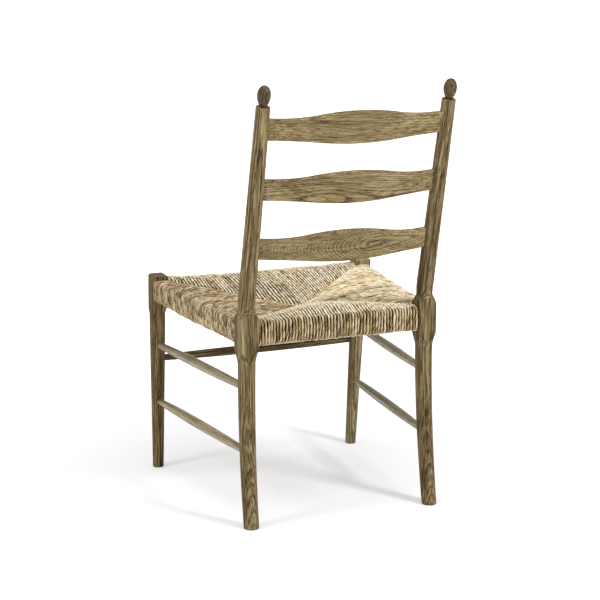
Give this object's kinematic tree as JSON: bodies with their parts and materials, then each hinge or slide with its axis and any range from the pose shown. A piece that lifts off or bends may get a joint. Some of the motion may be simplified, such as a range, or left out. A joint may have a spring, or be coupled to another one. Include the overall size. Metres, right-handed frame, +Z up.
{
  "type": "dining chair",
  "caption": "Ladder-back dining chair: turned wooden posts with small egg-shaped finials, bowed slats, turned stretchers and a woven rush seat.",
  "frame": {"origin": "On the floor under the middle of the chair's bounding box.", "axes": "+Z up, the chair faces -Y, the sitter's left is +X."},
  "size_m": [0.5838, 0.6377, 1.0004],
  "materials": {
    "oak": "weathered grey-brown oak, open grain, low sheen",
    "rush": "twisted natural rush cord, matt, pale straw with tan and grey strands",
    "straw_stuffing": "loose straw packed between the two layers of rush"
  },
  "bodies": {
    "root": {"rear_post_left": "oak", "rear_post_right": "oak", "finial_left": "oak", "finial_right": "oak", "front_leg_left": "oak", "front_leg_right": "oak", "top_slat": "oak", "middle_slat": "oak", "bottom_slat": "oak", "seat_rail_front": "oak", "seat_rail_rear": "oak", "seat_rail_left": "oak", "seat_rail_right": "oak", "upper_side_stretcher_left": "oak", "upper_side_stretcher_right": "oak", "lower_side_stretcher_left": "oak", "lower_side_stretcher_right": "oak", "front_stretcher": "oak", "rush_seat": "rush", "seat_stuffing": "straw_stuffing"}
  },
  "joints": []
}
